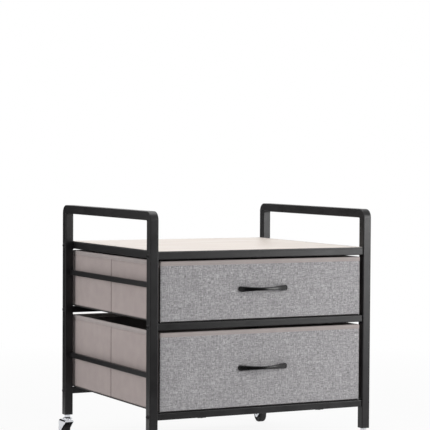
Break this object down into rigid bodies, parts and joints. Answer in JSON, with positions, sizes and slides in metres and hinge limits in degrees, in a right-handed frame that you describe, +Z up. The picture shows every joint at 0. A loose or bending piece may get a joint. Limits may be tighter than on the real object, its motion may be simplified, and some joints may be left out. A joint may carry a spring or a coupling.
{
  "type": "mini fridge stand",
  "caption": "Rolling tube-frame stand for a mini fridge, with guard rails beside a flat top board, sliding fabric drawers with bow handles, and swivel casters.",
  "frame": {"origin": "on the floor below the middle of the whole outline, with the drawers closed and the wheels trailing to the rear", "axes": "+Z up, X across the stand, -Y the side on which the drawers open"},
  "size_m": [0.566, 0.545, 0.56],
  "materials": {
    "frame_steel": "matt black powder coat on steel tube",
    "board": "thin fibreboard with a pale wood-effect face and a dark edge",
    "screws": "black steel screws and bolts",
    "steel_insert": "zinc-plated threaded plugs",
    "socket_plastic": "black moulded plastic",
    "caster_chrome": "bright chrome-plated pressed steel",
    "hub_plastic": "black nylon wheel centre",
    "tyre": "black rubber tread",
    "drawer_fabric": "taupe non-woven fabric",
    "drawer_binding": "taupe binding, sewn along the top edge",
    "front_linen": "heather grey linen-look weave",
    "fibreboard": "raw fibreboard inside the fabric",
    "handle_plastic": "glossy black"
  },
  "bodies": {
    "frame": {"left_hoop": "frame_steel", "right_hoop": "frame_steel", "left_upper_bar": "frame_steel", "left_lower_bar": "frame_steel", "right_upper_bar": "frame_steel", "right_lower_bar": "frame_steel", "top_front_rail": "frame_steel", "top_rear_rail": "frame_steel", "top_left_rail": "frame_steel", "top_right_rail": "frame_steel", "mid_front_rail": "frame_steel", "mid_rear_rail": "frame_steel", "bottom_front_rail": "frame_steel", "bottom_rear_rail": "frame_steel", "left_board_support": "frame_steel", "right_board_support": "frame_steel", "mid_left_support": "frame_steel", "mid_right_support": "frame_steel", "bottom_left_support": "frame_steel", "bottom_right_support": "frame_steel", "top_board": "board", "board_screws": "screws", "frame_bolts": "screws", "rail_plugs": "steel_insert", "support_screws": "screws", "caster_sockets": "socket_plastic", "front_left_stem": "caster_chrome", "front_right_stem": "caster_chrome", "rear_left_stem": "caster_chrome", "rear_right_stem": "caster_chrome"},
    "front_left_swivel": {"front_left_fork": "caster_chrome", "front_left_axle": "caster_chrome"},
    "front_left_wheel": {"front_left_hub": "hub_plastic", "front_left_tyre": "tyre"},
    "front_right_swivel": {"front_right_fork": "caster_chrome", "front_right_axle": "caster_chrome"},
    "front_right_wheel": {"front_right_hub": "hub_plastic", "front_right_tyre": "tyre"},
    "rear_left_swivel": {"rear_left_fork": "caster_chrome", "rear_left_axle": "caster_chrome"},
    "rear_left_wheel": {"rear_left_hub": "hub_plastic", "rear_left_tyre": "tyre"},
    "rear_right_swivel": {"rear_right_fork": "caster_chrome", "rear_right_axle": "caster_chrome"},
    "rear_right_wheel": {"rear_right_hub": "hub_plastic", "rear_right_tyre": "tyre"},
    "upper_drawer": {"upper_bin": "drawer_fabric", "upper_rim_band": "drawer_binding", "upper_front_panel": "front_linen", "upper_stiffeners": "fibreboard", "upper_base_board": "drawer_fabric", "upper_handle": "handle_plastic", "upper_handle_screws": "screws"},
    "lower_drawer": {"lower_bin": "drawer_fabric", "lower_rim_band": "drawer_binding", "lower_front_panel": "front_linen", "lower_stiffeners": "fibreboard", "lower_base_board": "drawer_fabric", "lower_handle": "handle_plastic", "lower_handle_screws": "screws"}
  },
  "joints": [
    {"name": "front_left_swivel_turn", "type": "hinge", "parent": "frame", "child": "front_left_swivel", "pos_m": [-0.27, -0.245, 0.042], "axis": [0, 0, 1], "continuous": true},
    {"name": "front_left_wheel_roll", "type": "hinge", "parent": "front_left_swivel", "child": "front_left_wheel", "pos_m": [-0.27, -0.2265, 0.019], "axis": [1, 0, 0], "continuous": true},
    {"name": "front_right_swivel_turn", "type": "hinge", "parent": "frame", "child": "front_right_swivel", "pos_m": [0.27, -0.245, 0.042], "axis": [0, 0, 1], "continuous": true},
    {"name": "front_right_wheel_roll", "type": "hinge", "parent": "front_right_swivel", "child": "front_right_wheel", "pos_m": [0.27, -0.2265, 0.019], "axis": [1, 0, 0], "continuous": true},
    {"name": "rear_left_swivel_turn", "type": "hinge", "parent": "frame", "child": "rear_left_swivel", "pos_m": [-0.27, 0.235, 0.042], "axis": [0, 0, 1], "continuous": true},
    {"name": "rear_left_wheel_roll", "type": "hinge", "parent": "rear_left_swivel", "child": "rear_left_wheel", "pos_m": [-0.27, 0.2535, 0.019], "axis": [1, 0, 0], "continuous": true},
    {"name": "rear_right_swivel_turn", "type": "hinge", "parent": "frame", "child": "rear_right_swivel", "pos_m": [0.27, 0.235, 0.042], "axis": [0, 0, 1], "continuous": true},
    {"name": "rear_right_wheel_roll", "type": "hinge", "parent": "rear_right_swivel", "child": "rear_right_wheel", "pos_m": [0.27, 0.2535, 0.019], "axis": [1, 0, 0], "continuous": true},
    {"name": "upper_drawer_slide", "type": "slide", "parent": "frame", "child": "upper_drawer", "axis": [0, -1, 0], "range_m": [0, 0.36]},
    {"name": "lower_drawer_slide", "type": "slide", "parent": "frame", "child": "lower_drawer", "axis": [0, -1, 0], "range_m": [0, 0.36]}
  ]
}
